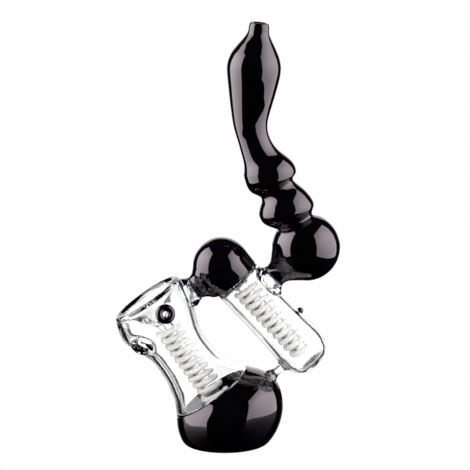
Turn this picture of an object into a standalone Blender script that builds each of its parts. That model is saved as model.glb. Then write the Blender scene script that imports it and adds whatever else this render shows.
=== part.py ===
"""Double-chamber glass bubbler: a clear hourglass chamber on a black foot bulb, a black link dome, a
clear second chamber hanging from it, and a black S-curved mouthpiece with two rolls.

Every section of glass is its own object. Metres, +Z up, the origin at the centre of the flat foot.
The whole piece is symmetric about the plane Y = 0, apart from the carb hole and the black donut.
"""
import math

import bmesh
import bpy
from mathutils import Matrix, Vector

MM = 0.001
SEAM = 0.3 * MM             # gap left where two sections of glass are fused
SIDES = 24                  # facets round a chamber
SMALL_SIDES = 16            # facets round a neck, collar or stem

# Front chamber: its axis leans back from the rim, and s runs down along it from the rim's plane.
FRONT_LEAN = 34.5           # degrees from the vertical
RIM_CENTRE = (-38.8 * MM, 76.5 * MM)
FRONT_WALL = 2.6 * MM
SEAM_S = 59.4 * MM          # where the clear glass turns black
FOOT_RADIUS = 16.5 * MM
FOOT_ROUNDING = 4.2 * MM    # height at which the bulb starts to turn in to the foot
FOOT_STEPS = 4
BASE_THICKNESS = 5.0 * MM   # the thick glass under the water

# Rear chamber: 25 mm tube, s runs down along its axis from the seal under the link dome.
REAR_LEAN = 42.8
REAR_TOP = (7.1 * MM, 86.8 * MM)
REAR_WALL = 2.2 * MM
DOME_WALL = 2.6 * MM

# Link neck and mouth neck, both square to the wall they leave.
LINK_S = 9.3 * MM
LINK_RADIUS = 6.4 * MM
LINK_BORE = 3.9 * MM
MOUTH_S = 11.8 * MM
MOUTH_NECK_RADIUS = 6.2 * MM
MOUTH_BORE = 4.2 * MM
MOUTH_BULB_OUT = 37.2 * MM  # the bulb's centre, out from the rear chamber's axis
MOUTH_BULB_RADIUS = 17.3 * MM

# Downstems and the rods coiled round them.
STEM_RADIUS = 3.85 * MM
STEM_BORE = 2.6 * MM
ROD_RADIUS = 1.3 * MM
COIL_RADIUS = STEM_RADIUS + ROD_RADIUS + SEAM
COIL_PITCH = 4.13 * MM

# Carb hole and donut, on the front chamber's wall.
CARB_S = 17.0 * MM
CARB_OUT = 18.0 * MM        # middle of the lip, out from the chamber's own centre there
CARB_CENTRE = -1.9 * MM
CARB_TURN = 135.0           # degrees round from the link neck's side, by way of the front
CARB_LIP_RADIUS = 6.0 * MM
CARB_HOLE_RADIUS = 3.3 * MM
DONUT_S = 8.5 * MM
DONUT_OUT = 22.4 * MM
DONUT_CENTRE = -1.1 * MM
DONUT_TURN = 71.5
DONUT_RADIUS = 5.1 * MM
DONUT_HOLE_RADIUS = 1.45 * MM

# Profiles: (s, radius, sideways offset of the section's centre), in millimetres.
CHAMBER_PROFILE = [(0.0, 19.0, -0.2), (4.9, 20.9, -0.5), (10.0, 21.2, -1.3), (15.2, 19.7, -1.9),
                   (21.4, 17.3, -1.9), (26.5, 15.3, -1.7), (33.0, 14.4, -1.8), (41.5, 14.8, -1.7),
                   (47.0, 16.0, -1.6), (52.5, 18.3, -0.8), (59.4, 22.4, -0.3)]
BULB_PROFILE = [(59.4, 22.4, -0.3), (65.5, 26.6, 0.5), (72.5, 28.7, 1.0), (80.0, 27.5, 1.0),
                (87.5, 23.2, 1.0), (93.5, 16.4, 1.0), (97.0, 8.6, 1.0), (98.0, 0.0, 1.0)]
WELL_PROFILE = [(59.4, 19.8, -0.3), (65.5, 23.6, 0.5), (72.0, 25.0, 0.8), (79.0, 22.0, 0.8),
                (84.0, 15.5, 0.8), (86.8, 8.0, 0.8), (87.5, 0.0, 0.8)]
FUNNEL_OUTER = [(1.6, 15.8, -0.2), (5.0, 13.4, -0.2), (9.0, 9.6, -0.2), (12.5, 5.9, -0.2),
                (15.2, 4.0, -0.2), (18.0, 3.85, -0.2)]
FUNNEL_INNER = [(-0.6, 16.4, -0.2), (3.0, 12.6, -0.2), (7.0, 8.6, -0.2), (10.5, 4.8, -0.2),
                (13.2, 1.5, -0.2), (18.0, 1.4, -0.2)]
RIM_ROLL = [(1.6, 17.4, -0.2), (1.2, 19.0, -0.2), (0.2, 19.4, -0.2), (-0.8, 18.6, -0.2),
            (-1.2, 17.5, -0.2)]
DOME_PROFILE = [(-1.1, 12.8, -0.2), (-5.0, 13.8, -0.6), (-10.5, 14.6, -1.0), (-16.0, 13.5, -1.0),
                (-20.8, 10.3, -1.0), (-24.0, 5.6, -1.0), (-25.1, 0.0, -1.0)]
TUBE_PROFILE = [(1.1, 12.8, -0.2), (8.0, 12.4, -0.4), (22.0, 12.2, -0.5), (38.0, 12.6, -0.5),
                (48.0, 13.1, -0.5), (53.0, 12.2, -0.6), (57.0, 9.9, -0.7), (60.0, 5.6, -1.0),
                (61.0, 0.0, -1.0)]

# Mouthpiece stations: (x, z, tilt of the ring in degrees, radius), in millimetres.
LOWER_ROLL = [(36.0, 117.2, 24.0, 10.3), (34.0, 119.6, 21.0, 13.1), (32.0, 123.8, 18.0, 14.1),
              (30.2, 128.2, 22.0, 12.4), (27.7, 133.3, 30.0, 9.3)]
UPPER_ROLL = [(27.5, 133.7, 30.0, 9.3), (25.3, 137.4, 22.0, 12.7), (23.7, 142.4, 13.0, 13.2),
              (22.4, 145.8, 14.0, 12.1), (19.6, 149.6, 22.0, 9.6), (17.6, 153.4, 24.0, 8.5),
              (15.5, 159.4, 16.0, 8.0)]
STEM = [(15.4, 159.8, 16.0, 8.0), (14.1, 165.8, 6.0, 8.6), (13.9, 171.8, -1.0, 9.6),
        (14.7, 182.8, -5.0, 11.9), (15.6, 194.3, -6.0, 13.8), (16.3, 200.8, -7.0, 12.7),
        (17.0, 205.8, -7.0, 10.0), (17.6, 209.8, -7.0, 7.3)]
TIP = [(17.7, 210.2, -7.0, 7.1), (18.0, 213.2, -7.0, 5.5), (18.3, 216.4, -7.0, 5.2),
       (18.5, 218.0, -7.0, 4.7)]
MOUTH_WALL = 3.1 * MM
TIP_WALL = 1.5 * MM


def clear_scene():
    """Remove every object that the file opened with."""
    for old in list(bpy.data.objects):
        bpy.data.objects.remove(old, do_unlink=True)


def glass(name, colour, roughness):
    """A plain glass colour: the solids carry only their colour and gloss."""
    material = bpy.data.materials.new(name)
    material.use_nodes = True
    shader = material.node_tree.nodes["Principled BSDF"]
    shader.inputs["Base Color"].default_value = (*colour, 1.0)
    shader.inputs["Roughness"].default_value = roughness
    shader.inputs["Metallic"].default_value = 0.0
    material.diffuse_color = (*colour, 1.0)
    return material


def axis_frame(name, lean, top):
    """An empty whose Z runs down the chamber, X to the right and up, and Y to the front."""
    angle = math.radians(lean)
    down = Vector((math.sin(angle), 0.0, -math.cos(angle)))
    across = Vector((math.cos(angle), 0.0, math.sin(angle)))
    front = down.cross(across)
    empty = bpy.data.objects.new(name, None)
    bpy.context.collection.objects.link(empty)
    turn = Matrix((across, front, down)).transposed()
    empty.matrix_world = Matrix.Translation((top[0], 0.0, top[1])) @ turn.to_4x4()
    return empty


def through(points, steps):
    """Catmull-Rom curve through tuples of numbers, with `steps` pieces to a span."""
    curve = []
    last = len(points) - 1
    for i in range(last):
        before = points[max(i - 1, 0)]
        start = points[i]
        end = points[i + 1]
        after = points[min(i + 2, last)]
        for k in range(steps):
            t = k / steps
            curve.append(tuple(
                0.5 * (2 * b + (c - a) * t + (2 * a - 5 * b + 4 * c - d) * t * t
                       + (3 * b - a - 3 * c + d) * t ** 3)
                for a, b, c, d in zip(before, start, end, after)))
    curve.append(tuple(points[-1]))
    return curve


def profile_rings(profile, steps=1):
    """(centre, across, radius) rings of a profile in a chamber's own frame."""
    across = Vector((1.0, 0.0, 0.0))
    return [(Vector((offset * MM, 0.0, s * MM)), across, max(radius, 0.0) * MM)
            for s, radius, offset in through(profile, steps)]


def station_rings(stations, steps=2):
    """(centre, across, radius) rings of the mouthpiece, in the plane Y = 0."""
    rings = []
    for x, z, tilt, radius in through(stations, steps):
        angle = math.radians(tilt)
        across = Vector((math.cos(angle), 0.0, math.sin(angle)))
        rings.append((Vector((x * MM, 0.0, z * MM)), across, radius * MM))
    return rings


def skin(rings, closed, sides):
    """One closed surface through rings of vertices; a ring of no radius is a pole."""
    bm = bmesh.new()
    loops = []
    for centre, across, radius in rings:
        if radius <= 0.0:
            loops.append([bm.verts.new(centre)])
            continue
        loops.append([
            bm.verts.new(centre + across * (radius * math.cos(turn))
                         + Vector((0.0, radius * math.sin(turn), 0.0)))
            for turn in (2.0 * math.pi * k / sides for k in range(sides))])
    pairs = list(zip(loops, loops[1:]))
    if closed:
        pairs.append((loops[-1], loops[0]))
    for near, far in pairs:
        for k in range(sides):
            after = (k + 1) % sides
            if len(near) == 1:
                bm.faces.new((near[0], far[after], far[k]))
            elif len(far) == 1:
                bm.faces.new((near[k], near[after], far[0]))
            else:
                bm.faces.new((near[k], near[after], far[after], far[k]))
    if not closed:
        for loop in (loops[0], loops[-1]):
            if len(loop) > 1:
                bm.faces.new(loop)
    bmesh.ops.recalc_face_normals(bm, faces=bm.faces)
    return bm


def add_object(name, bm, material, parent=None, place=None):
    """Turn a bmesh into a named, smooth-shaded object, placed under its parent."""
    mesh = bpy.data.meshes.new(name)
    bm.to_mesh(mesh)
    bm.free()
    mesh.shade_smooth()
    mesh.set_sharp_from_angle(angle=math.radians(40.0))
    piece = bpy.data.objects.new(name, mesh)
    bpy.context.collection.objects.link(piece)
    if material:
        mesh.materials.append(material)
    if place:
        piece.matrix_basis = place
    if parent:
        piece.parent = parent
    return piece


def cutter(name, bm, parent=None, place=None):
    """A guide solid that only cuts other pieces."""
    guide = add_object(name, bm, None, parent, place)
    guide.hide_render = True
    guide.display_type = "WIRE"
    return guide


def cut(piece, guides):
    """Take the guides' solids away from a piece."""
    for guide in guides:
        modifier = piece.modifiers.new("cut_" + guide.name, "BOOLEAN")
        modifier.operation = "DIFFERENCE"
        modifier.solver = "EXACT"
        modifier.object = guide


def lathe(outline, sides):
    """A solid turned round its own Z axis from (z, radius) points, closed into a ring."""
    across = Vector((1.0, 0.0, 0.0))
    rings = [(Vector((0.0, 0.0, z)), across, radius) for z, radius in outline]
    return skin(rings, outline[0][1] > 0.0 and outline[-1][1] > 0.0, sides)


def rod(radius, low, high, sides=SMALL_SIDES):
    """A plain round bar along Z, for cutting holes."""
    return lathe([(low, 0.0), (low, radius), (high, radius), (high, 0.0)], sides)


def aim(point, direction):
    """A place whose Z points along the direction."""
    turn = Vector(direction).to_track_quat("Z", "Y").to_matrix().to_4x4()
    return Matrix.Translation(point) @ turn


def on_wall(s, centre, out, turn, slope):
    """A place on a chamber's wall, Z outwards: `turn` degrees round, `slope` towards the foot."""
    angle = math.radians(turn)
    outwards = Vector((math.cos(angle), math.sin(angle), 0.0))
    point = Vector((centre, 0.0, s)) + outwards * out
    return aim(point, outwards + Vector((0.0, 0.0, slope)))


def round_ring(hole, radius, half_height):
    """A ring with a round section, about its own Z axis."""
    half_width = 0.5 * (radius - hole)
    outline = []
    for k in range(10):
        angle = 2.0 * math.pi * k / 10
        outline.append((half_height * math.cos(angle), hole + half_width * (1.0 + math.sin(angle))))
    return lathe(outline, SIDES)


def wall_solid(profile, extra, steps=1, sides=SIDES):
    """A chamber's outer shape as a solid, grown by `extra`, for saddling pieces to the wall."""
    grown = [(s, radius + extra / MM if radius > 0.0 else 0.0, offset)
             for s, radius, offset in profile]
    return skin(profile_rings(grown, steps), False, sides)


def helix(name, turns, pitch, radius, rod_radius, start, axis_offset, material, parent, flare=0.0):
    """A left-handed coil round a chamber's downstem; the last turn opens out by `flare`."""
    per_turn = 10
    count = int(round(turns * per_turn))
    data = bpy.data.curves.new(name, "CURVE")
    data.dimensions = "3D"
    data.bevel_depth = rod_radius
    data.bevel_resolution = 1
    data.use_fill_caps = True
    spline = data.splines.new("POLY")
    spline.points.add(count)
    for k in range(count + 1):
        turn = k / per_turn
        opening = max(0.0, 1.0 - (turns - turn) / 1.2) if flare else 0.0
        reach = radius + flare * opening
        angle = math.pi + 2.0 * math.pi * turn
        spline.points[k].co = (axis_offset + reach * math.cos(angle), -reach * math.sin(angle),
                               start + pitch * (turn + 0.25 * opening), 1.0)
    coil = bpy.data.objects.new(name, data)
    bpy.context.collection.objects.link(coil)
    data.materials.append(material)
    coil.parent = parent
    return coil


def tube(outer, inner, low, high):
    """Outline of a plain tube along Z."""
    return [(low, inner), (low, outer), (high, outer), (high, inner)]


def build_front(front, mats):
    """The hourglass chamber with its funnel, downstem, coil, carb lip and donut."""
    outside = [(1.9, 19.8, -0.3)] + CHAMBER_PROFILE[1:-1] + [(SEAM_S / MM - 0.3, 22.2, -0.3)]
    inside = [(s, radius - FRONT_WALL / MM, offset) for s, radius, offset in outside]
    rings = profile_rings(outside) + list(reversed(profile_rings(inside)))
    body = add_object("chamber_body", skin(rings, True, SIDES), mats["clear"], front)

    wall = cutter("chamber_wall_guide", wall_solid(CHAMBER_PROFILE, SEAM), front)

    link_hole = cutter("link_hole_guide", rod(LINK_BORE, 12.0 * MM, 24.0 * MM), front,
                       aim((0.0, 0.0, LINK_S), (1.0, 0.0, 0.0)))
    carb_place = on_wall(CARB_S, CARB_CENTRE, CARB_OUT, CARB_TURN, 0.32)
    carb_hole = cutter("carb_hole_guide", rod(CARB_LIP_RADIUS + SEAM, -6.0 * MM, 6.0 * MM), front,
                       carb_place)
    cut(body, [link_hole, carb_hole])
    add_object("carb_lip", round_ring(CARB_HOLE_RADIUS, CARB_LIP_RADIUS, 1.8 * MM), mats["clear"],
               front, carb_place)

    donut = add_object("bowl_donut", round_ring(DONUT_HOLE_RADIUS, DONUT_RADIUS, 1.9 * MM),
                       mats["black"], front, on_wall(DONUT_S, DONUT_CENTRE, DONUT_OUT, DONUT_TURN, -0.1))
    cut(donut, [wall])

    funnel_rings = (profile_rings(FUNNEL_OUTER) + list(reversed(profile_rings(FUNNEL_INNER)))
                    + list(reversed(profile_rings(RIM_ROLL))))
    add_object("bowl_funnel", skin(funnel_rings, True, SIDES), mats["clear"], front)

    stem_place = Matrix.Translation((-0.2 * MM, 0.0, 0.0))
    add_object("front_downstem", lathe(tube(STEM_RADIUS, STEM_BORE, 18.3 * MM, 54.5 * MM), SMALL_SIDES),
               mats["clear"], front, stem_place)
    helix("front_coil", 10.6, COIL_PITCH, COIL_RADIUS, ROD_RADIUS, 18.2 * MM, -0.2 * MM,
          mats["white"], front, flare=1.3 * MM)
    return wall


def trim_below(bm, height):
    """Cut away what lies below a height, and return the edges of the open cut."""
    everything = bm.verts[:] + bm.edges[:] + bm.faces[:]
    bmesh.ops.bisect_plane(bm, geom=everything, plane_co=(0.0, 0.0, height),
                           plane_no=(0.0, 0.0, -1.0), clear_outer=True)
    cut_verts = [vert for vert in bm.verts if vert.is_boundary]
    bmesh.ops.remove_doubles(bm, verts=cut_verts, dist=1.2 * MM)
    return [edge for edge in bm.edges if edge.is_boundary]


def round_foot(bm, rim):
    """Carry the open rim down and in to the flat foot, along a soft curve."""
    start = {}
    for step in range(1, FOOT_STEPS + 1):
        t = step / FOOT_STEPS
        grown = bmesh.ops.extrude_edge_only(bm, edges=rim)["geom"]
        rim = [part for part in grown if isinstance(part, bmesh.types.BMEdge)]
        for vert in {vert for edge in rim for vert in edge.verts}:
            turn = math.atan2(vert.co.y, vert.co.x)
            top = start.setdefault(round(turn, 4), vert.co.copy())
            foot = Vector((FOOT_RADIUS * math.cos(turn), FOOT_RADIUS * math.sin(turn), 0.0))
            bend = top.lerp(foot, 0.6)
            bend.z = 0.1 * FOOT_ROUNDING
            vert.co = top.lerp(bend, t).lerp(bend.lerp(foot, t), t)
    bmesh.ops.holes_fill(bm, edges=rim)


def build_base(front, mats):
    """The black bulb that the object stands on: a spun bulb, rounded in to its flat foot."""
    outer = skin(profile_rings(BULB_PROFILE, 2), False, SIDES)
    outer.transform(front.matrix_world)
    round_foot(outer, trim_below(outer, FOOT_ROUNDING))
    bmesh.ops.recalc_face_normals(outer, faces=outer.faces)
    base = add_object("base_bulb", outer, mats["black"])

    rings = profile_rings(WELL_PROFILE)
    mouth = (rings[0][0] - Vector((0.0, 0.0, 4.0 * MM)), rings[0][1], rings[0][2])
    water = skin([mouth] + rings, False, SIDES)
    water.transform(front.matrix_world)
    bmesh.ops.holes_fill(water, edges=trim_below(water, BASE_THICKNESS))
    bmesh.ops.recalc_face_normals(water, faces=water.faces)
    cut(base, [cutter("well_guide", water)])
    return cutter("bulb_wall_guide", wall_solid(BULB_PROFILE, SEAM, steps=2), front)


def build_link(front, rear, mats, front_wall):
    """The collar and the neck between the front chamber and the dome, and the dome itself."""
    neck_place = aim((0.0, 0.0, LINK_S), (1.0, 0.0, 0.0))
    collar_top = 23.6 * MM
    collar_outline = [(17.0 * MM, LINK_BORE), (17.0 * MM, LINK_RADIUS + 0.8 * MM),
                      (collar_top, LINK_RADIUS), (collar_top, LINK_BORE)]
    collar = add_object("link_collar", lathe(collar_outline, SMALL_SIDES), mats["blue"], front,
                        neck_place)
    cut(collar, [front_wall])

    wall = DOME_WALL / MM
    inside = [(s, radius - wall, offset) for s, radius, offset in DOME_PROFILE[:-1]]
    inside.append((DOME_PROFILE[-1][0] + wall, 0.0, DOME_PROFILE[-1][2]))
    shell = list(reversed(profile_rings(DOME_PROFILE))) + profile_rings(inside)
    dome = add_object("link_dome", skin(shell, False, SIDES), mats["black"], rear)
    bore = cutter("link_bore_guide", rod(LINK_RADIUS + SEAM, 22.0 * MM, 34.0 * MM), front, neck_place)
    cut(dome, [bore])

    neck = add_object("link_neck", lathe(tube(LINK_RADIUS, LINK_BORE, collar_top + SEAM, 29.6 * MM),
                                         SMALL_SIDES), mats["black"], front, neck_place)
    dome_space = cutter("dome_space_guide", skin(profile_rings(inside), False, SIDES), rear)
    cut(neck, [dome_space])


def build_rear(rear, mats, bulb_wall):
    """The second chamber, hanging from the dome, with its seal, downstem, coil and bead."""
    wall = REAR_WALL / MM
    inside = [(s, radius - wall, offset) for s, radius, offset in TUBE_PROFILE[:-2]]
    inside.append((57.8, 4.6, -1.0))
    inside.append((TUBE_PROFILE[-1][0] - wall, 0.0, TUBE_PROFILE[-1][2]))
    shell = list(reversed(profile_rings(TUBE_PROFILE))) + profile_rings(inside)
    chamber = add_object("rear_chamber", skin(shell, False, SIDES), mats["clear"], rear)
    neck_place = aim((0.0, 0.0, MOUTH_S), (1.0, 0.0, 0.0))
    mouth_hole = cutter("mouth_hole_guide", rod(MOUTH_BORE, 6.0 * MM, 20.0 * MM), rear, neck_place)
    cut(chamber, [mouth_hole])

    rear_wall = cutter("rear_wall_guide", wall_solid(TUBE_PROFILE, SEAM), rear)
    seal_place = Matrix.Translation((-0.2 * MM, 0.0, 0.0))
    add_object("rear_seal", lathe(tube(12.8 * MM, 5.2 * MM, -0.8 * MM, 0.8 * MM), SIDES),
               mats["clear"], rear, seal_place)
    flare = [(-1.0 * MM, STEM_BORE + 0.8 * MM), (-1.0 * MM, 4.7 * MM), (1.0 * MM, 4.4 * MM),
             (4.0 * MM, STEM_RADIUS), (50.8 * MM, STEM_RADIUS), (50.8 * MM, STEM_BORE),
             (3.0 * MM, STEM_BORE)]
    flare_place = Matrix.Translation((-0.5 * MM, 0.0, 0.0))
    add_object("rear_downstem", lathe(flare, SMALL_SIDES), mats["clear"], rear, flare_place)
    helix("rear_coil", 10.5, COIL_PITCH, COIL_RADIUS, ROD_RADIUS, 6.2 * MM, -0.5 * MM,
          mats["white"], rear)

    bead = add_object("rear_bead", lathe([(11.9 * MM, 0.0), (11.9 * MM, 1.3 * MM), (13.0 * MM, 1.65 * MM),
                                          (14.2 * MM, 1.2 * MM), (14.7 * MM, 0.0)], 14),
                      mats["black"], rear, aim((-0.5 * MM, 0.0, 34.2 * MM), (1.0, 0.0, 0.0)))
    cut(bead, [rear_wall])

    waist = [(11.0 * MM, 0.0), (11.0 * MM, 4.2 * MM), (13.6 * MM, 3.6 * MM), (15.6 * MM, 2.4 * MM),
             (17.6 * MM, 2.2 * MM), (19.6 * MM, 2.5 * MM), (21.6 * MM, 3.7 * MM), (24.0 * MM, 4.3 * MM),
             (24.0 * MM, 0.0)]
    post = add_object("bridge_post", lathe(waist, SMALL_SIDES), mats["clear"], rear,
                      aim((0.0, 0.0, 49.4 * MM), (-1.0, 0.0, 0.0)))
    cut(post, [rear_wall, bulb_wall])
    return rear_wall


def hollow_stations(name, stations, wall, material, steps=2):
    """A blown section of the mouthpiece, open at both ends."""
    outer = station_rings(stations, steps)
    inner = [(centre, across, radius - wall) for centre, across, radius in outer]
    return add_object(name, skin(outer + list(reversed(inner)), True, SIDES), material)


def build_mouth(rear, mats, rear_wall):
    """The black bulb, two rolls, S-curved stem and tip."""
    neck_place = aim((0.0, 0.0, MOUTH_S), (1.0, 0.0, 0.0))
    collar_top = 15.4 * MM
    collar_outline = [(9.0 * MM, MOUTH_BORE), (9.0 * MM, MOUTH_NECK_RADIUS + 1.2 * MM),
                      (collar_top, MOUTH_NECK_RADIUS), (collar_top, MOUTH_BORE)]
    collar = add_object("mouth_collar", lathe(collar_outline, SIDES), mats["blue"], rear,
                        neck_place)
    cut(collar, [rear_wall])

    outline = [(collar_top + SEAM, MOUTH_NECK_RADIUS), (18.2 * MM, MOUTH_NECK_RADIUS + 0.3 * MM),
               (21.2 * MM, 8.6 * MM)]
    for k in range(8):
        angle = math.radians(138.0 - 18.0 * k)
        outline.append((MOUTH_BULB_OUT + MOUTH_BULB_RADIUS * math.cos(angle),
                        MOUTH_BULB_RADIUS * math.sin(angle)))
    outline.append((MOUTH_BULB_OUT + MOUTH_BULB_RADIUS, 0.0))
    inner = [(z, max(radius - MOUTH_WALL * 0.85, MOUTH_BORE if z < MOUTH_BULB_OUT else 0.0))
             for z, radius in outline[:-1]]
    inner.append((MOUTH_BULB_OUT + MOUTH_BULB_RADIUS - MOUTH_WALL, 0.0))
    shell = list(reversed(outline)) + inner
    bulb = add_object("mouth_bulb", lathe(shell, SIDES), mats["black"], rear, neck_place)
    tilt = math.radians(24.0)
    roll_axis = Vector((-math.sin(tilt), 0.0, math.cos(tilt)))
    roll_start = Vector((LOWER_ROLL[0][0] * MM, 0.0, LOWER_ROLL[0][1] * MM))
    top_cut = cutter("bulb_top_guide", rod(14.0 * MM, -SEAM, 14.0 * MM, SIDES), None,
                     aim(roll_start, roll_axis))
    top_bore = cutter("bulb_bore_guide", rod(6.4 * MM, -8.0 * MM, 8.0 * MM, SIDES), None,
                      aim(roll_start, roll_axis))
    cut(bulb, [top_cut, top_bore])

    hollow_stations("lower_roll", LOWER_ROLL, MOUTH_WALL, mats["black"])
    hollow_stations("upper_roll", UPPER_ROLL, MOUTH_WALL, mats["black"])
    hollow_stations("mouth_stem", STEM, MOUTH_WALL, mats["black"])
    hollow_stations("mouth_tip", TIP, TIP_WALL, mats["black"])


def main():
    clear_scene()
    mats = {
        "clear": glass("clear_glass", (0.86, 0.90, 0.90), 0.04),
        "black": glass("black_glass", (0.012, 0.010, 0.022), 0.05),
        "white": glass("white_glass", (0.90, 0.88, 0.86), 0.18),
        "blue": glass("blue_glass", (0.10, 0.14, 0.34), 0.06),
    }
    front = axis_frame("front_axis", FRONT_LEAN, RIM_CENTRE)
    rear = axis_frame("rear_axis", REAR_LEAN, REAR_TOP)
    front_wall = build_front(front, mats)
    bulb_wall = build_base(front, mats)
    build_link(front, rear, mats, front_wall)
    rear_wall = build_rear(rear, mats, bulb_wall)
    build_mouth(rear, mats, rear_wall)


main()
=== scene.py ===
import math

import bmesh
import bpy
from mathutils import Matrix, Vector


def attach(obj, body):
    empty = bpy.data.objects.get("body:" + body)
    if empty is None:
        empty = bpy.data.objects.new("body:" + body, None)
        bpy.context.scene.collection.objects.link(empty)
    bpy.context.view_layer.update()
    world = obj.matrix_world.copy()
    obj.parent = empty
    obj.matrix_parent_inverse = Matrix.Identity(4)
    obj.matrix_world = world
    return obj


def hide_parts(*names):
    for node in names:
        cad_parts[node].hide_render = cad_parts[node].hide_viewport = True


MM = 0.001

# The two chambers lean; each has its own axis, and a profile of (down the axis, radius, offset).
FRONT_LEAN = 34.5
RIM_CENTRE = (-38.8, 76.5)
REAR_LEAN = 42.8
REAR_TOP = (7.1, 86.8)

# The front chamber: its wall, its rolled rim, the bowl let into it, and the downstem.
FRONT_WALL = 2.6
CHAMBER = [(0.0, 19.3, -0.2), (4.9, 20.9, -0.5), (10.0, 21.2, -1.3), (15.2, 19.7, -1.9),
           (21.4, 17.3, -1.9), (26.5, 15.3, -1.7), (33.0, 14.4, -1.8), (41.5, 14.8, -1.7),
           (47.0, 16.0, -1.6), (52.5, 18.3, -0.8), (59.4, 22.3, -0.3)]
RIM_ROLL = [(0.0, 19.3, -0.2), (-1.0, 18.5, -0.2), (-1.3, 17.4, -0.2), (-0.6, 16.2, -0.2)]
BOWL_INSIDE = [(-0.6, 16.2, -0.2), (3.0, 12.6, -0.2), (7.0, 8.6, -0.2), (10.5, 4.8, -0.2),
               (12.8, 1.9, -0.2), (14.2, 1.4, -0.2), (17.5, 1.4, -0.2), (19.5, 2.4, -0.2),
               (22.0, 2.6, -0.2)]
BOWL_OUTSIDE = [(20.0, 3.85, -0.2), (18.0, 3.85, -0.2), (15.2, 4.2, -0.2), (12.5, 6.0, -0.2),
                (9.0, 9.6, -0.2), (5.0, 13.0, -0.2), (2.2, 15.6, -0.2), (1.2, 16.8, -0.2),
                (1.6, 17.7, -0.2), (3.0, 18.1, -0.3)]
STEM_RADIUS = 3.85
STEM_BORE = 2.6
FRONT_STEM_OFFSET = -0.2

# A ring is (half its height, the radius of its middle, half its width); a place on the wall is
# (down the axis, centre, distance out, degrees round, slope).
CARB_RING = (2.0, 4.85, 1.5)
CARB_PLACE = (16.6, -1.9, 19.1, 130.0, 0.32)
CARB_HOLE = 3.5
CARB_CUT = 7.0
DONUT_RING = (1.9, 3.275, 1.825)
DONUT_PLACE = (8.5, -1.1, 22.4, 71.5, -0.1)
RING_POINTS = 24

# The black bulb and the well inside it, both flattened to the foot.
BULB = [(59.4, 22.4, -0.3), (65.5, 26.6, 0.5), (72.5, 28.7, 1.0), (80.0, 27.5, 1.0),
        (87.5, 23.2, 1.0), (93.5, 16.4, 1.0), (97.0, 8.6, 1.0), (98.0, 0.0, 1.0)]
WELL = [(59.4, 19.8, -0.3), (65.5, 23.6, 0.5), (72.0, 25.0, 0.8), (79.0, 22.0, 0.8),
        (84.0, 15.5, 0.8), (86.8, 8.0, 0.8), (87.5, 0.0, 0.8)]
WELL_FLOOR = 5.0
FOOT_SOFTNESS = 2.6
WELL_SOFTNESS = 2.0

# The link between the chambers. Flanges and necks are (out along the bore, radius).
LINK_S = 9.3
LINK_BORE = 3.9
LINK_FLANGE = [(18.2, 0.0), (18.2, 8.4), (20.2, 7.9), (21.4, 7.1), (22.6, 6.6), (23.4, 6.35),
               (23.4, 0.0)]
LINK_CUT = (12.0, 26.0)
LINK_FILM = (22.6, 23.5, 6.5)
NECK = [(23.3, 0.0), (23.3, 6.3), (24.0, 6.45), (25.0, 6.6), (26.2, 7.2), (27.4, 8.2),
        (28.6, 9.6), (30.0, 10.4), (30.0, 0.0)]
NECK_CUT = (20.0, 34.0)
DOME = [(0.3, 12.95, -0.2), (-1.1, 13.05, -0.2), (-5.0, 13.8, -0.6), (-10.5, 14.6, -1.0),
        (-16.0, 13.5, -1.0), (-20.8, 10.3, -1.0), (-24.0, 5.6, -1.0), (-25.1, 0.0, -1.0)]
DOME_WALL = 2.6

# The rear chamber: its tube, downstem, post, grip bead and the flange of the mouthpiece.
REAR_WALL = 2.2
TUBE = [(-0.5, 12.55, -0.2), (1.1, 12.75, -0.2), (8.0, 12.4, -0.4), (22.0, 12.2, -0.5),
        (38.0, 12.6, -0.5), (48.0, 13.1, -0.5), (53.0, 12.2, -0.6), (57.0, 9.9, -0.7),
        (60.0, 5.6, -1.0), (61.0, 0.0, -1.0)]
REAR_STEM_OFFSET = -0.5
REAR_TOP_RING = [(-0.7, 12.3, -0.2), (-0.7, 11.0, -0.2), (-0.6, 8.0, -0.3), (-0.9, 5.2, -0.5),
                 (-1.3, 4.5, -0.5), (-1.3, 3.9, -0.5), (-0.6, 3.4, -0.5), (2.0, 2.8, -0.5),
                 (5.0, STEM_BORE, -0.5)]
RING_SEAL = [(6.0, STEM_RADIUS, -0.5), (3.5, 4.1, -0.5), (1.6, 5.2, -0.5), (0.9, 7.0, -0.4),
             (0.9, 9.0, -0.3), (1.6, 10.3, -0.3), (3.2, 10.55, -0.3)]
MOUTH_S = 11.8
MOUTH_BORE = 4.2
MOUTH_FLANGE = [(9.6, 0.0), (9.6, 9.8), (12.0, 8.8), (12.9, 7.8), (13.8, 6.9), (14.6, 6.45),
                (15.3, 6.3), (15.3, 0.0)]
MOUTH_CUT = (6.0, 20.0)
MOUTH_FILM = (14.3, 15.3, 6.42)
POST_S = 49.4
POST = [(11.4, 0.0), (11.4, 4.6), (12.8, 3.9), (14.2, 2.9), (16.0, 2.3), (17.6, 2.2),
        (19.2, 2.4), (21.0, 3.3), (22.6, 4.4), (22.6, 0.0)]
BEAD_POINT = (-0.5, 0.0, 34.2)
BEAD = [(11.4, 0.0), (11.4, 1.2), (12.2, 1.6), (13.0, 1.7), (13.8, 1.45), (14.4, 0.85),
        (14.7, 0.0)]

# How far fused glass has run together: (grain, smoothing passes).
FRONT_MELT = (0.54, 20)
DOME_MELT = (0.4, 60)
REAR_MELT = (0.46, 20)

# The coils: (start down the axis, offset, turns, flare at the end).
COIL_RADIUS = 5.45
COIL_PITCH = 4.13
COIL_ROD = 1.5
COIL_POINTS = 620
COIL_SIDES = 14
FLARE_TURNS = 1.2
FLARE_DROP = 0.25
FRONT_COIL = (18.2, -0.2, 10.6, 1.3)
REAR_COIL = (6.2, -0.5, 10.5, 0.0)

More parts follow.
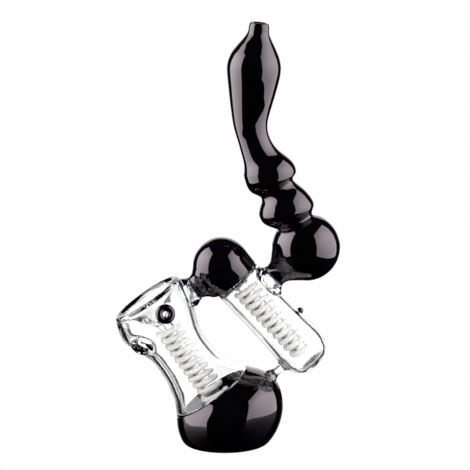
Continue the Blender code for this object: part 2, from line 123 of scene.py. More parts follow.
# The mouthpiece's neck, (out along the bore, radius), and the ball above it.
MOUTH_NECK = [(15.0, 6.15), (16.6, 6.2), (18.4, 6.7), (20.2, 7.9), (22.0, 9.45)]
BULB_OUT = 37.2
MOUTH_BULB = 17.3
BULB_POLAR = (-50.0, 56.0)
BULB_TILT = 24.0
BULB_CIRCLES = 11

# The mouthpiece above its bulb: (x, z, tilt, radius).
ROLLS = [(33.6, 120.4, 21.0, 13.5), (32.0, 123.8, 18.0, 14.1), (30.2, 128.2, 22.0, 12.4),
         (27.6, 133.5, 30.0, 9.3), (25.3, 137.4, 22.0, 12.7), (23.7, 142.4, 13.0, 13.2),
         (22.4, 145.8, 14.0, 12.1), (19.6, 149.6, 22.0, 9.6), (17.6, 153.4, 24.0, 8.5),
         (15.45, 159.6, 16.0, 8.0), (14.1, 165.8, 6.0, 8.6), (13.9, 171.8, -1.0, 9.6),
         (14.7, 182.8, -5.0, 11.9), (15.6, 194.3, -6.0, 13.8), (16.3, 200.8, -7.0, 12.7),
         (17.0, 205.8, -7.0, 10.0), (17.65, 210.0, -7.0, 7.2), (18.0, 213.2, -7.0, 5.5),
         (18.3, 216.4, -7.0, 5.2), (18.5, 218.0, -7.0, 4.7)]
MOUTH_WALL = 3.1
TIP_WALL = 1.5
TIP_START = 200.0
TIP_LENGTH = 10.0
NECK_TOP = 100.0

# How finely the glass is turned, and how many steps a curve takes between two points.
SIDES = 112
NECK_SIDES = 72
RING_SIDES = 64
BORE_SIDES = 48
BEAD_SIDES = 32
WALL_STEPS = 8
BEND_STEPS = 5
ROLL_STEPS = 4
SHARP_ANGLE = 45.0

# The camera, in metres and degrees.
AIM_POINT = (0.00612, 0.0, 0.109572)
CAMERA_DISTANCE = 1.53
CAMERA_ELEVATION = 10.8
SENSOR_WIDTH = 36.0
LENS = 229.8

# The room is dark for the light, white for the eye. Lengths in the studio are in metres.
# POWER_SCALE is the power of a lamp of brightness 1 and one square metre.
ROOM = 0.012
POWER_SCALE = 4.0
EYE_WHITE = 0.99
WHITE = (1.0, 1.0, 1.0)
SOFTBOX = (1.0, 0.94, 0.97)
# Panels are (name, first and last azimuth, brightness); a span is (bottom, top, distance).
GLOSS_PANELS = [("left_gloss", -55.0, -120.0, 5.8), ("right_gloss", 37.0, 122.0, 4.6)]
GLOSS_SPAN = (-0.24, 1.08, 0.7)
GLOSS_REACH = 0.75
MIDDLE_STRENGTH = 1.1
EDGE_STRENGTH = 0.62
THROUGH_SPAN = (0.0, 2.0, 1.2)
SOFT_PANELS = [("left_soft", -30.0, -120.0, 1.8), ("right_soft", 30.0, 120.0, 1.8)]
SOFT_SPAN = (0.0, 2.0, 1.3)
BACK_SPAN = (-0.1, 0.95, 1.4)
TOP_HEIGHT = 1.6
TOP_SIZE = 2.6
TOP_RADIANCE = 1.2
FLOOR_HALF = 6.0
FLOOR_HEIGHT = -0.0006
WEDGE_RADIUS = 4.0
WEDGE_HEIGHT = -0.0004
WEDGE_WHITE = 1.12
WEDGE_STEP = 10.0
TABLE_HALF = 0.11
TABLE_HEIGHT = -0.0002
# White screens seen through the clear glass: (name, first and last azimuth, brightness). The
# dark gaps between them draw the dark outlines of the tubes.
THROUGH_LIGHTS = [("through_back", 157.0, 203.0, 1.12), ("through_left", -116.0, -40.0, 1.6),
                  ("through_front", -40.0, 36.0, 1.5), ("through_right", 36.0, 130.0, 1.6),
                  ("through_left_slot", -150.0, -146.0, 1.0),
                  ("through_right_slot", 149.0, 152.0, 1.0)]


# ---------------------------------------------------------------- shaping

def chamber_frame(lean, top):
    """A matrix whose Z runs down the chamber, X to the right and up, and Y to the front."""
    angle = math.radians(lean)
    down = Vector((math.sin(angle), 0.0, -math.cos(angle)))
    across = Vector((math.cos(angle), 0.0, math.sin(angle)))
    turn = Matrix((across, down.cross(across), down)).transposed()
    return Matrix.Translation((top[0] * MM, 0.0, top[1] * MM)) @ turn.to_4x4()


def through(points, steps):
    """A smooth curve through tuples of numbers, with `steps` pieces to a span."""
    curve = []
    last = len(points) - 1
    for i in range(last):
        before = points[max(i - 1, 0)]
        start = points[i]
        end = points[i + 1]
        after = points[min(i + 2, last)]
        for k in range(steps):
            t = k / steps
            curve.append(tuple(
                0.5 * (2 * b + (c - a) * t + (2 * a - 5 * b + 4 * c - d) * t * t
                       + (3 * b - a - 3 * c + d) * t ** 3)
                for a, b, c, d in zip(before, start, end, after)))
    curve.append(tuple(points[-1]))
    return curve


def thinner(profile, wall):
    """The inside of a wall: the same profile with less radius."""
    return [(s, max(radius - wall, 0.0), offset) for s, radius, offset in profile]


def join_runs(*runs):
    """Profiles end to end, without the points that two runs share."""
    joined = []
    for run in runs:
        for point in run:
            if not joined or max(abs(a - b) for a, b in zip(point, joined[-1])) > 1e-6:
                joined.append(point)
    return joined


def spun_rings(profile):
    """(centre, across, radius) rings of a profile in millimetres, in its own frame."""
    across = Vector((1.0, 0.0, 0.0))
    return [(Vector((offset * MM, 0.0, s * MM)), across, radius * MM)
            for s, radius, offset in profile]


def station_rings(stations):
    """(centre, across, radius) rings along the mouthpiece, in the plane Y = 0."""
    rings = []
    for x, z, tilt, radius in stations:
        angle = math.radians(tilt)
        rings.append((Vector((x * MM, 0.0, z * MM)),
                      Vector((math.cos(angle), 0.0, math.sin(angle))), radius * MM))
    return rings


def skin(rings, closed=False, sides=SIDES):
    """A closed surface through rings; a ring of no radius is a pole."""
    bm = bmesh.new()
    rows = []
    for centre, across, radius in rings:
        if radius < 1e-7:
            rows.append([bm.verts.new(centre)])
            continue
        rows.append([
            bm.verts.new(centre + across * (radius * math.cos(turn))
                         + Vector((0.0, radius * math.sin(turn), 0.0)))
            for turn in (2.0 * math.pi * k / sides for k in range(sides))])
    pairs = list(zip(rows, rows[1:]))
    if closed:
        pairs.append((rows[-1], rows[0]))
    for near, far in pairs:
        for k in range(sides):
            after = (k + 1) % sides
            if len(near) == 1:
                bm.faces.new((near[0], far[after], far[k]))
            elif len(far) == 1:
                bm.faces.new((near[k], near[after], far[0]))
            else:
                bm.faces.new((near[k], near[after], far[after], far[k]))
    if not closed:
        for row in (rows[0], rows[-1]):
            if len(row) > 1:
                bm.faces.new(row)
    bmesh.ops.recalc_face_normals(bm, faces=bm.faces)
    return bm


def made(name, bm, place=None):
    """A mesh object from a bmesh, with its place put into the mesh."""
    if place is not None:
        bm.transform(place)
    mesh = bpy.data.meshes.new(name)
    bm.to_mesh(mesh)
    bm.free()
    piece = bpy.data.objects.new(name, mesh)
    bpy.context.scene.collection.objects.link(piece)
    return piece


def lathe(name, outline, place, sides):
    """A solid turned round its own Z axis from (z, radius) points in millimetres."""
    across = Vector((1.0, 0.0, 0.0))
    rings = [(Vector((0.0, 0.0, z * MM)), across, radius * MM) for z, radius in outline]
    closed = outline[0][1] > 0.0 and outline[-1][1] > 0.0
    return made(name, skin(rings, closed, sides), place)


def cylinder(name, low, high, radius, place, sides):
    """A plain round rod, to cut a bore with."""
    return lathe(name, [(low, 0.0), (low, radius), (high, radius), (high, 0.0)], place, sides)


def ring_outline(half_height, middle, half_width):
    """The oval section of a ring, as (z, radius) points."""
    outline = []
    for k in range(RING_POINTS):
        angle = 2.0 * math.pi * k / RING_POINTS
        outline.append((half_height * math.cos(angle), middle + half_width * math.sin(angle)))
    return outline


def aim(frame_matrix, point, direction):
    """A place in a chamber whose Z points along the direction."""
    turn = Vector(direction).to_track_quat("Z", "Y").to_matrix().to_4x4()
    return frame_matrix @ Matrix.Translation(Vector(point) * MM) @ turn


def on_wall(frame_matrix, s, centre, out, turn, slope):
    """A place on a chamber's wall, Z outwards: `turn` degrees round, `slope` down the wall."""
    angle = math.radians(turn)
    outwards = Vector((math.cos(angle), math.sin(angle), 0.0))
    point = Vector((centre, 0.0, s)) + outwards * out
    return aim(frame_matrix, point, outwards + Vector((0.0, 0.0, slope)))


def link_place(front):
    """The link's bore: from the front chamber's axis, Z along it."""
    return aim(front, (0.0, 0.0, LINK_S), (1.0, 0.0, 0.0))


def mouth_place(rear):
    """The mouthpiece's bore: from the rear chamber's axis, Z along it."""
    return aim(rear, (0.0, 0.0, MOUTH_S), (1.0, 0.0, 0.0))


def carve(piece, added, removed):
    """Fuse solids onto a piece and cut holes through it, then keep the result as its mesh."""
    steps = [("UNION", solid) for solid in added] + [("DIFFERENCE", solid) for solid in removed]
    for operation, solid in steps:
        modifier = piece.modifiers.new(operation.lower(), "BOOLEAN")
        modifier.operation = operation
        modifier.solver = "EXACT"
        modifier.object = solid
    keep_result(piece)
    for solid in added + removed:
        bpy.data.objects.remove(solid, do_unlink=True)


def melt(piece, grain, passes):
    """Run joined parts into one another as soft glass does, in one even skin."""
    even = piece.modifiers.new("even", "REMESH")
    even.mode = "VOXEL"
    even.voxel_size = grain * MM
    soft = piece.modifiers.new("soft", "SMOOTH")
    soft.factor = 0.5
    soft.iterations = passes
    keep_result(piece)


def keep_result(piece):
    """Replace a piece's mesh by what its modifiers make of it."""
    shown = piece.evaluated_get(bpy.context.evaluated_depsgraph_get())
    mesh = bpy.data.meshes.new_from_object(shown)
    mesh.name = piece.name
    piece.modifiers.clear()
    piece.data = mesh


def finish_piece(piece, material, nodes):
    """Shade a piece, give it its glass, put it under the root body, and hide the solids it stands for."""
    mesh = piece.data
    mesh.shade_smooth()
    mesh.set_sharp_from_angle(angle=math.radians(SHARP_ANGLE))
    mesh.materials.clear()
    mesh.materials.append(material)
    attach(piece, "root")
    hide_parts(*nodes)


# ---------------------------------------------------------------- glass

def new_material(name):
    """A new material, its nodes and its links."""
    material = bpy.data.materials.new(name)
    material.use_nodes = True
    return material, material.node_tree.nodes, material.node_tree.links


def noise(nodes, links, scale, detail):
    """A noise field on the piece's own coordinates."""
    where = nodes.new("ShaderNodeTexCoord")
    field = nodes.new("ShaderNodeTexNoise")
    field.inputs["Scale"].default_value = scale
    field.inputs["Detail"].default_value = detail
    links.new(where.outputs["Object"], field.inputs["Vector"])
    return field


def ramp(nodes, links, source, stops):
    """A colour ramp fed by a value."""
    node = nodes.new("ShaderNodeValToRGB")
    elements = node.color_ramp.elements
    while len(elements) < len(stops):
        elements.new(0.5)
    for element, (position, colour) in zip(elements, stops):
        element.position = position
        element.color = (*colour, 1.0)
    links.new(source, node.inputs["Fac"])
    return node


def bump(nodes, links, source, distance):
    """Shallow relief from a value, `distance` metres deep."""
    node = nodes.new("ShaderNodeBump")
    node.inputs["Distance"].default_value = distance
    node.inputs["Strength"].default_value = 1.0
    links.new(source, node.inputs["Height"])
    return node


def span(nodes, links, source, low, high):
    """Spread a 0 to 1 value over a range."""
    node = nodes.new("ShaderNodeMapRange")
    node.inputs["To Min"].default_value = low
    node.inputs["To Max"].default_value = high
    links.new(source, node.inputs["Value"])
    return node


def clear_glass():
    """Fire-polished clear borosilicate, with the slow waves of hand working."""
    material, nodes, links = new_material("clear_borosilicate")
    shader = nodes["Principled BSDF"]
    shader.inputs["Transmission Weight"].default_value = 1.0
    shader.inputs["IOR"].default_value = 1.47
    waves = noise(nodes, links, 90.0, 2.0)
    tint = ramp(nodes, links, waves.outputs["Fac"],
                [(0.3, (0.985, 0.992, 0.990)), (0.7, (0.995, 0.997, 0.996))])
    links.new(tint.outputs["Color"], shader.inputs["Base Color"])
    gloss = span(nodes, links, waves.outputs["Fac"], 0.0, 0.012)
    links.new(gloss.outputs["Result"], shader.inputs["Roughness"])
    relief = bump(nodes, links, waves.outputs["Fac"], 0.00008)
    links.new(relief.outputs["Normal"], shader.inputs["Normal"])
    return material


def black_glass():
    """Opaque black glass: a dark blue cast in the depths, a mirror gloss, slow waves."""
    material, nodes, links = new_material("black_glass_blown")
    shader = nodes["Principled BSDF"]
    shader.inputs["IOR"].default_value = 1.52
    shader.inputs["Specular Tint"].default_value = (1.0, 0.90, 0.95, 1.0)
    depth = noise(nodes, links, 55.0, 3.0)
    tint = ramp(nodes, links, depth.outputs["Fac"],
                [(0.35, (0.0007, 0.0004, 0.0005)), (0.58, (0.0008, 0.0006, 0.0012)),
                 (0.74, (0.0010, 0.0016, 0.0085))])
    links.new(tint.outputs["Color"], shader.inputs["Base Color"])
    gloss = span(nodes, links, depth.outputs["Fac"], 0.015, 0.035)
    links.new(gloss.outputs["Result"], shader.inputs["Roughness"])
    waves = noise(nodes, links, 60.0, 1.0)
    relief = bump(nodes, links, waves.outputs["Fac"], 0.00012)
    links.new(relief.outputs["Normal"], shader.inputs["Normal"])
    return material


def white_glass():
    """Opaque white glass rod, softly glossy, a little uneven in its white."""
    material, nodes, links = new_material("white_glass_rod")
    shader = nodes["Principled BSDF"]
    shader.inputs["Coat Weight"].default_value = 0.6
    shader.inputs["Coat Roughness"].default_value = 0.08
    shader.inputs["Subsurface Weight"].default_value = 0.8
    shader.inputs["Subsurface Radius"].default_value = (1.0, 0.97, 0.94)
    shader.inputs["Subsurface Scale"].default_value = 2.0 * MM
    cloud = noise(nodes, links, 420.0, 3.0)
    tint = ramp(nodes, links, cloud.outputs["Fac"],
                [(0.35, (0.84, 0.82, 0.80)), (0.65, (0.93, 0.92, 0.905))])
    links.new(tint.outputs["Color"], shader.inputs["Base Color"])
    gloss = span(nodes, links, cloud.outputs["Fac"], 0.16, 0.30)
    links.new(gloss.outputs["Result"], shader.inputs["Roughness"])
    relief = bump(nodes, links, cloud.outputs["Fac"], 0.00006)
    links.new(relief.outputs["Normal"], shader.inputs["Normal"])
    return material


def blue_film():
    """The dark blue film that the black leaves in the clear glass at a seal."""
    material, nodes, links = new_material("blue_seal_film")
    shader = nodes["Principled BSDF"]
    shader.inputs["Transmission Weight"].default_value = 0.6
    shader.inputs["IOR"].default_value = 1.47
    smoke = noise(nodes, links, 300.0, 3.0)
    tint = ramp(nodes, links, smoke.outputs["Fac"],
                [(0.3, (0.02, 0.035, 0.12)), (0.7, (0.10, 0.16, 0.36))])
    links.new(tint.outputs["Color"], shader.inputs["Base Color"])
    gloss = span(nodes, links, smoke.outputs["Fac"], 0.02, 0.08)
    links.new(gloss.outputs["Result"], shader.inputs["Roughness"])
    return material


# ---------------------------------------------------------------- the front chamber

def straight(first, last, step, radius, offset):
    """A straight run of a profile."""
    return [(s, radius, offset) for s in range(first, last, step)]


def stem_lip(start, end, corner, offset):
    """The fire-polished end of a downstem, from its bore to its outside."""
    return [(start, STEM_BORE + 0.15, offset), (end, STEM_BORE + 0.5, offset),
            (end, STEM_RADIUS - 0.4, offset), (corner, STEM_RADIUS, offset)]


def front_glass(front):
    """One piece of clear glass: wall, rolled rim, bowl and downstem, with carb lip and link hole."""
    outside = list(reversed(through(CHAMBER, WALL_STEPS)))
    foot_edge = [(60.3, 22.0, -0.3), (60.3, 20.4, -0.3)]
    roll = through(RIM_ROLL, ROLL_STEPS)
    bowl = through(BOWL_INSIDE, BEND_STEPS)
    stem = straight(24, 55, 2, STEM_BORE, FRONT_STEM_OFFSET)
    stem_end = stem_lip(54.4, 54.5, 54.2, FRONT_STEM_OFFSET)
    back = straight(53, 20, -2, STEM_RADIUS, FRONT_STEM_OFFSET)
    under_bowl = through(BOWL_OUTSIDE, BEND_STEPS)
    inside = through([(s, radius - FRONT_WALL, offset) for s, radius, offset in CHAMBER[1:]],
                     WALL_STEPS)
    loop = join_runs(outside, roll, bowl, stem, stem_end, back, under_bowl, inside,
                     list(reversed(foot_edge)))
    piece = made("front_glass", skin(spun_rings(loop), True), front)

    carb = on_wall(front, *CARB_PLACE)
    ring = lathe("carb_ring", ring_outline(*CARB_RING), carb, RING_SIDES)
    hole = cylinder("carb_hole", -CARB_CUT, CARB_CUT, CARB_HOLE, carb, RING_SIDES)
    link = link_place(front)
    flange = lathe("link_flange", LINK_FLANGE, link, RING_SIDES)
    bore = cylinder("link_bore", *LINK_CUT, LINK_BORE, link, BORE_SIDES)
    carve(piece, [flange, ring], [hole, bore])
    melt(piece, *FRONT_MELT)
    return piece


def base_glass(front):
    """The black bulb, flattened to its foot, hollow above its floor."""
    rings = spun_rings(list(reversed(through(BULB, WALL_STEPS))))
    shell = skin(rings + spun_rings(through(WELL, WALL_STEPS)))
    shell.transform(front)
    outside_count = 1 + SIDES * (len(rings) - 1)
    shell.verts.ensure_lookup_table()
    for i, vert in enumerate(shell.verts):
        height, softness = (0.0, FOOT_SOFTNESS * MM)
        if i >= outside_count:
            height, softness = (WELL_FLOOR * MM, WELL_SOFTNESS * MM)
        z = (vert.co.z - height) / softness
        if z < -1.0:
            vert.co.z = height
        elif z < 1.0:
            vert.co.z = height + softness * (z + 1.0) ** 2 / 4.0
    return made("base_glass", shell)


def donut(front):
    """The black ring that is stuck on the chamber as a grip."""
    return lathe("donut", ring_outline(*DONUT_RING), on_wall(front, *DONUT_PLACE), RING_SIDES)


# ---------------------------------------------------------------- the link and the rear chamber

def dome_glass(front, rear):
    """The black dome over the rear chamber, with the neck that joins it to the front one."""
    outside = through(DOME, WALL_STEPS)
    inside = through(thinner(DOME[:-1], DOME_WALL) + [(DOME[-1][0] + DOME_WALL, 0.0, -1.0)],
                     WALL_STEPS)
    shell = skin(spun_rings(list(reversed(outside)) + inside))
    piece = made("dome_glass", shell, rear)
    link = link_place(front)
    neck = lathe("neck", NECK, link, NECK_SIDES)
    bore = cylinder("neck_bore", *NECK_CUT, LINK_BORE, link, BORE_SIDES)
    carve(piece, [neck], [bore])
    melt(piece, *DOME_MELT)
    return piece


def rear_glass(rear):
    """One piece of clear glass: tube, ring seal and downstem, with its neck flange and post."""
    outside = list(reversed(through(TUBE, WALL_STEPS)))
    bore = straight(7, 51, 2, STEM_BORE, REAR_STEM_OFFSET)
    end = stem_lip(50.7, 50.8, 50.5, REAR_STEM_OFFSET)
    back = straight(49, 6, -2, STEM_RADIUS, REAR_STEM_OFFSET)
    seal = through(RING_SEAL, ROLL_STEPS)
    inside = through(thinner(TUBE[2:-2], REAR_WALL)
                     + [(57.8, 4.6, -1.0), (58.8, 0.0, -1.0)], WALL_STEPS)
    path = join_runs(outside, REAR_TOP_RING, bore, end, back, seal, inside)
    piece = made("rear_glass", skin(spun_rings(path)), rear)
    neck = mouth_place(rear)
    flange = lathe("mouth_flange", MOUTH_FLANGE, neck, NECK_SIDES)
    hole = cylinder("mouth_hole", *MOUTH_CUT, MOUTH_BORE, neck, RING_SIDES)
    post = lathe("post", POST, aim(rear, (0.0, 0.0, POST_S), (-1.0, 0.0, 0.0)), BORE_SIDES)
    carve(piece, [flange, post], [hole])
    melt(piece, *REAR_MELT)
    return piece


def bead(rear):
    """The small black grip bead on the rear chamber."""
    return lathe("bead", BEAD, aim(rear, BEAD_POINT, (1.0, 0.0, 0.0)), BEAD_SIDES)


# ---------------------------------------------------------------- the mouthpiece

def mouth_stations(rear):
    """The neck, the bulb as slanted circles of one ball, and the rolls, stem and tip above."""
    axis = rear.to_3x3() @ Vector((1.0, 0.0, 0.0))
    start = rear @ Vector((0.0, 0.0, MOUTH_S * MM))
    tilt = -math.degrees(math.atan2(axis.x, axis.z))
    stations = []
    for out, radius in MOUTH_NECK:
        point = (start + axis * out * MM) / MM
        stations.append((point.x, point.z, tilt, radius))
    centre = (start + axis * BULB_OUT * MM) / MM
    low, high = (math.radians(polar) for polar in BULB_POLAR)
    for k in range(BULB_CIRCLES):
        share = k / (BULB_CIRCLES - 1)
        polar = low + (high - low) * share
        slant = tilt + (BULB_TILT - tilt) * share
        angle = math.radians(slant)
        out = MOUTH_BULB * math.sin(polar)
        stations.append((centre.x - math.sin(angle) * out, centre.z + math.cos(angle) * out,
                         slant, MOUTH_BULB * math.cos(polar)))
    return stations + ROLLS


def mouthpiece(rear):
    """The black mouthpiece, open from its neck to its tip."""
    outer = through(mouth_stations(rear), BEND_STEPS)
    inner = []
    for x, z, tilt, radius in outer:
        share = min(max((z - TIP_START) / TIP_LENGTH, 0.0), 1.0)
        wall = MOUTH_WALL + (TIP_WALL - MOUTH_WALL) * share
        bore = MOUTH_BORE if z < NECK_TOP else 0.0
        inner.append((x, z, tilt, max(radius - wall, bore)))
    x, z, tilt, radius = outer[-1]
    lip = [(x + right, z + up, tilt, radius - inwards)
           for right, up, inwards in ((0.03, 0.25, 0.25), (0.05, 0.35, 0.75), (0.03, 0.25, 1.25))]
    return made("mouthpiece", skin(station_rings(outer + lip + list(reversed(inner))), True))


def seal_film(name, place, low, high, radius, bore):
    """A thin ring of blue film between clear glass and black."""
    return lathe(name, [(low, bore), (low, radius), (high, radius), (high, bore)], place,
                 RING_SIDES)


# ---------------------------------------------------------------- the coils

def coil_tree(material):
    """Node tree: a rod wound round a downstem, from its turns, pitch, radius and thickness."""
    tree = bpy.data.node_groups.new("wound_rod", "GeometryNodeTree")
    face = tree.interface
    face.new_socket("Geometry", in_out="INPUT", socket_type="NodeSocketGeometry")
    for name, value in (("Turns", FRONT_COIL[2]), ("Pitch", COIL_PITCH * MM), ("Radius", COIL_RADIUS * MM),
                        ("Rod", COIL_ROD * MM), ("Flare", 0.0)):
        socket = face.new_socket(name, in_out="INPUT", socket_type="NodeSocketFloat")
        socket.default_value = value
    face.new_socket("Geometry", in_out="OUTPUT", socket_type="NodeSocketGeometry")
    nodes, links = tree.nodes, tree.links
    inputs = nodes.new("NodeGroupInput")
    outputs = nodes.new("NodeGroupOutput")

    def maths(operation, first, second=None):
        """One step of arithmetic on numbers or sockets."""
        node = nodes.new("ShaderNodeMath")
        node.operation = operation
        for socket, value in ((node.inputs[0], first), (node.inputs[1], second)):
            if isinstance(value, (int, float)):
                socket.default_value = value
            elif value is not None:
                links.new(value, socket)
        return node.outputs[0]

    line = nodes.new("GeometryNodeCurvePrimitiveLine")
    resample = nodes.new("GeometryNodeResampleCurve")
    resample.mode = "COUNT"
    resample.inputs["Count"].default_value = COIL_POINTS
    links.new(line.outputs["Curve"], resample.inputs["Curve"])
    share = nodes.new("GeometryNodeSplineParameter").outputs["Factor"]
    turn = maths("MULTIPLY", share, inputs.outputs["Turns"])
    left = maths("SUBTRACT", inputs.outputs["Turns"], turn)
    opening = maths("MAXIMUM", maths("SUBTRACT", 1.0, maths("DIVIDE", left, FLARE_TURNS)), 0.0)
    reach = maths("ADD", inputs.outputs["Radius"],
                  maths("MULTIPLY", inputs.outputs["Flare"], opening))
    angle = maths("ADD", maths("MULTIPLY", turn, 2.0 * math.pi), math.pi)
    place = nodes.new("ShaderNodeCombineXYZ")
    links.new(maths("MULTIPLY", reach, maths("COSINE", angle)), place.inputs["X"])
    links.new(maths("MULTIPLY", reach, maths("MULTIPLY", maths("SINE", angle), -1.0)),
              place.inputs["Y"])
    rise = maths("ADD", turn, maths("MULTIPLY", opening, FLARE_DROP))
    links.new(maths("MULTIPLY", rise, inputs.outputs["Pitch"]), place.inputs["Z"])
    wind = nodes.new("GeometryNodeSetPosition")
    links.new(resample.outputs["Curve"], wind.inputs["Geometry"])
    links.new(place.outputs["Vector"], wind.inputs["Position"])
    section = nodes.new("GeometryNodeCurvePrimitiveCircle")
    section.inputs["Resolution"].default_value = COIL_SIDES
    links.new(inputs.outputs["Rod"], section.inputs["Radius"])
    rod = nodes.new("GeometryNodeCurveToMesh")
    rod.inputs["Fill Caps"].default_value = True
    links.new(wind.outputs["Geometry"], rod.inputs["Curve"])
    links.new(section.outputs["Curve"], rod.inputs["Profile Curve"])
    realize = nodes.new("GeometryNodeRealizeInstances")
    links.new(rod.outputs["Mesh"], realize.inputs["Geometry"])
    paint = nodes.new("GeometryNodeSetMaterial")
    paint.inputs["Material"].default_value = material
    links.new(realize.outputs["Geometry"], paint.inputs["Geometry"])
    links.new(paint.outputs["Geometry"], outputs.inputs["Geometry"])
    return tree


def coil(name, tree, chamber, start, offset, turns, flare):
    """One coil, wound by the node tree and kept as a plain mesh in its chamber."""
    piece = made(name, bmesh.new())
    modifier = piece.modifiers.new("wound_rod", "NODES")
    modifier.node_group = tree
    sockets = {item.name: item.identifier for item in tree.interface.items_tree
               if item.in_out == "INPUT"}
    modifier[sockets["Turns"]] = turns
    modifier[sockets["Flare"]] = flare * MM
    keep_result(piece)
    piece.data.transform(chamber @ Matrix.Translation((offset * MM, 0.0, start * MM)))
    return piece


# ---------------------------------------------------------------- the studio

def panel(name, centre, facing, width, height, radiance, colour, sees):
    """A flat soft light of even brightness, seen only by the kinds of ray named."""
    light = bpy.data.lights.new(name, "AREA")
    light.shape = "RECTANGLE"
    light.size, light.size_y = width, height
    light.color = colour
    light.energy = radiance * width * height * POWER_SCALE
    lamp = bpy.data.objects.new(name, light)
    bpy.context.scene.collection.objects.link(lamp)
    lamp.location = centre
    lamp.rotation_euler = (Vector(facing)).to_track_quat("-Z", "Y").to_euler()
    lamp.visible_camera = False
    lamp.visible_glossy = "glossy" in sees
    lamp.visible_transmission = "through" in sees
    lamp.visible_diffuse = "diffuse" in sees
    return lamp


def soften(lamp, reach):
    """Let a panel fall off from its middle to its edges, as a cloth-fronted lamp does."""
    lamp.data.use_nodes = True
    nodes, links = lamp.data.node_tree.nodes, lamp.data.node_tree.links
    place = nodes.new("ShaderNodeNewGeometry")
    away = nodes.new("ShaderNodeVectorMath")
    away.operation = "DISTANCE"
    away.inputs[1].default_value = lamp.location
    links.new(place.outputs["Position"], away.inputs[0])
    fall = nodes.new("ShaderNodeMapRange")
    fall.interpolation_type = "SMOOTHSTEP"
    fall.inputs["From Max"].default_value = reach
    fall.inputs["To Min"].default_value = MIDDLE_STRENGTH
    fall.inputs["To Max"].default_value = EDGE_STRENGTH
    links.new(away.outputs["Value"], fall.inputs["Value"])
    links.new(fall.outputs["Result"], nodes["Emission"].inputs["Strength"])


def side_panel(name, start, end, bottom, top, distance, radiance, colour, sees):
    """A panel at the side, from its first to its last azimuth round the object."""
    middle = math.radians((start + end) / 2.0)
    half = math.radians(abs(end - start) / 2.0)
    out = Vector((math.sin(middle), -math.cos(middle), 0.0))
    centre = out * distance + Vector((0.0, 0.0, (bottom + top) / 2.0))
    return panel(name, centre, -out, 2.0 * distance * math.tan(half), top - bottom,
                 radiance, colour, sees)


def studio():
    """White all round for the eye, two big panels for the black glass to mirror, white screens
    and floor wedges seen only through the clear glass, soft light for the coils, a panel behind,
    and a small table that only reflections see."""
    world = bpy.data.worlds.new("studio")
    bpy.context.scene.world = world
    world.use_nodes = True
    nodes, links = world.node_tree.nodes, world.node_tree.links
    back = nodes["Background"]
    path = nodes.new("ShaderNodeLightPath")
    mix = nodes.new("ShaderNodeMix")
    mix.data_type = "RGBA"
    mix.inputs["A"].default_value = (*[ROOM] * 3, 1.0)
    mix.inputs["B"].default_value = (*[EYE_WHITE] * 3, 1.0)
    links.new(path.outputs["Is Camera Ray"], mix.inputs["Factor"])
    links.new(mix.outputs["Result"], back.inputs["Color"])

    for name, start, end, radiance in GLOSS_PANELS:
        soften(side_panel(name, start, end, *GLOSS_SPAN, radiance, SOFTBOX, ("glossy",)),
               GLOSS_REACH)
    for name, start, end, radiance in THROUGH_LIGHTS:
        side_panel(name, start, end, *THROUGH_SPAN, radiance, WHITE, ("through",))
    panel("top_soft", (0.0, 0.0, TOP_HEIGHT), (0.0, 0.0, -1.0), TOP_SIZE, TOP_SIZE,
          TOP_RADIANCE, WHITE, ("diffuse",))
    for name, start, end, radiance in SOFT_PANELS:
        side_panel(name, start, end, *SOFT_SPAN, radiance, WHITE, ("diffuse",))
    side_panel("back_gloss", 155.0, 205.0, *BACK_SPAN, 1.0, WHITE, ("glossy", "diffuse"))

    floor = sheet("floor", FLOOR_HALF, FLOOR_HEIGHT, white_floor("white_sweep", EYE_WHITE))
    floor.visible_glossy = floor.visible_transmission = False
    for name, start, end, radiance in THROUGH_LIGHTS:
        wedge = floor_wedge(name + "_floor", start, end, min(radiance, WEDGE_WHITE))
        wedge.visible_camera = wedge.visible_glossy = wedge.visible_diffuse = False
    table = sheet("table_gloss", TABLE_HALF, TABLE_HEIGHT, table_finish())
    table.visible_camera = False
    table.visible_transmission = False
    table.visible_diffuse = False
    table.visible_shadow = False


def floor_wedge(name, start, end, strength):
    """The slice of white floor in front of one screen, for what is seen through the glass."""
    bm = bmesh.new()
    count = max(2, int(abs(end - start) / WEDGE_STEP))
    turns = [math.radians(start + (end - start) * k / count) for k in range(count + 1)]
    arc = [bm.verts.new((WEDGE_RADIUS * math.sin(turn), -WEDGE_RADIUS * math.cos(turn), 0.0))
           for turn in turns]
    middle = bm.verts.new((0.0, 0.0, 0.0))
    for near, far in zip(arc, arc[1:]):
        bm.faces.new((middle, near, far))
    bmesh.ops.recalc_face_normals(bm, faces=bm.faces)
    piece = made(name, bm, Matrix.Translation((0.0, 0.0, WEDGE_HEIGHT)))
    piece.data.materials.append(white_floor(name + "_white", strength))
    return piece


def sheet(name, half, height, material):
    """A flat square of the studio, centred under the object."""
    bm = bmesh.new()
    bmesh.ops.create_grid(bm, x_segments=1, y_segments=1, size=half)
    piece = made(name, bm, Matrix.Translation((0.0, 0.0, height)))
    piece.data.materials.append(material)
    return piece


def white_floor(name, strength):
    """A plain white surface that glows evenly."""
    material, nodes, links = new_material(name)
    nodes.clear()
    white = nodes.new("ShaderNodeEmission")
    white.inputs["Color"].default_value = (*WHITE, 1.0)
    white.inputs["Strength"].default_value = strength
    out = nodes.new("ShaderNodeOutputMaterial")
    links.new(white.outputs["Emission"], out.inputs["Surface"])
    return material


def table_finish():
    """The gloss of the table top, seen only where the black glass mirrors it."""
    material, nodes, _ = new_material("table_top")
    shader = nodes["Principled BSDF"]
    shader.inputs["Base Color"].default_value = (0.0, 0.0, 0.0, 1.0)
    shader.inputs["Roughness"].default_value = 0.16
    shader.inputs["Specular IOR Level"].default_value = 0.05
    return material


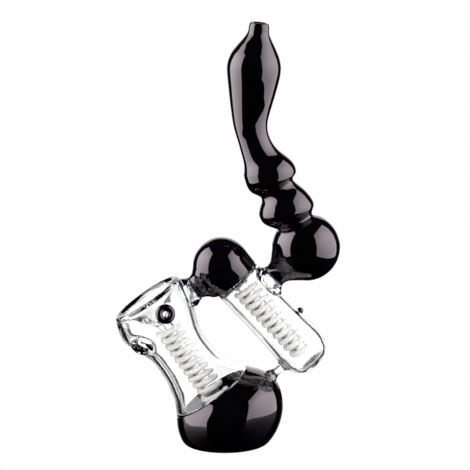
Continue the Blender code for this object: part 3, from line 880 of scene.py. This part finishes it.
def camera():
    """The camera, in front of the object and above it, looking slightly down."""
    data = bpy.data.cameras.new("camera")
    data.sensor_width = SENSOR_WIDTH
    data.lens = LENS
    data.clip_start, data.clip_end = 0.05, 50.0
    eye = bpy.data.objects.new("camera", data)
    bpy.context.scene.collection.objects.link(eye)
    tilt = math.radians(CAMERA_ELEVATION)
    back = Vector((0.0, -math.cos(tilt), math.sin(tilt)))
    eye.location = Vector(AIM_POINT) + back * CAMERA_DISTANCE
    eye.rotation_euler = (-back).to_track_quat("-Z", "Y").to_euler()
    bpy.context.scene.camera = eye
    bpy.context.scene.view_settings.view_transform = "Standard"


# ---------------------------------------------------------------- the object

def build():
    """Every piece of glass, each with its look, its slot and the solids it stands for."""
    front = chamber_frame(FRONT_LEAN, RIM_CENTRE)
    rear = chamber_frame(REAR_LEAN, REAR_TOP)
    clear, black, white, blue = clear_glass(), black_glass(), white_glass(), blue_film()

    finish_piece(front_glass(front), clear,
                 ["chamber_body", "bowl_funnel", "front_downstem", "carb_lip"])
    finish_piece(base_glass(front), black, ["base_bulb"])
    finish_piece(donut(front), black, ["bowl_donut"])
    finish_piece(dome_glass(front, rear), black, ["link_dome", "link_neck"])
    finish_piece(rear_glass(rear), clear,
                 ["rear_chamber", "rear_seal", "rear_downstem", "bridge_post"])
    finish_piece(bead(rear), black, ["rear_bead"])
    finish_piece(mouthpiece(rear), black,
                 ["mouth_bulb", "lower_roll", "upper_roll", "mouth_stem", "mouth_tip"])

    finish_piece(seal_film("link_film", link_place(front), *LINK_FILM, LINK_BORE), blue,
                 ["link_collar"])
    finish_piece(seal_film("mouth_film", mouth_place(rear), *MOUTH_FILM, MOUTH_BORE), blue,
                 ["mouth_collar"])

    tree = coil_tree(white)
    finish_piece(coil("front_rod", tree, front, *FRONT_COIL), white,
                 ["front_coil"])
    finish_piece(coil("rear_rod", tree, rear, *REAR_COIL), white, ["rear_coil"])


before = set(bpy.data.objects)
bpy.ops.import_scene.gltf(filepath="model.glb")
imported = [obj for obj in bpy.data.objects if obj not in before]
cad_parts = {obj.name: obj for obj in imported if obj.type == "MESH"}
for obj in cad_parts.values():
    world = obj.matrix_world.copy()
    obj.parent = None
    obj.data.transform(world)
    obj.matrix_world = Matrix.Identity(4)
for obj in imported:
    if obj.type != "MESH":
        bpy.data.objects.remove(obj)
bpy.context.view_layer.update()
build()
studio()
camera()
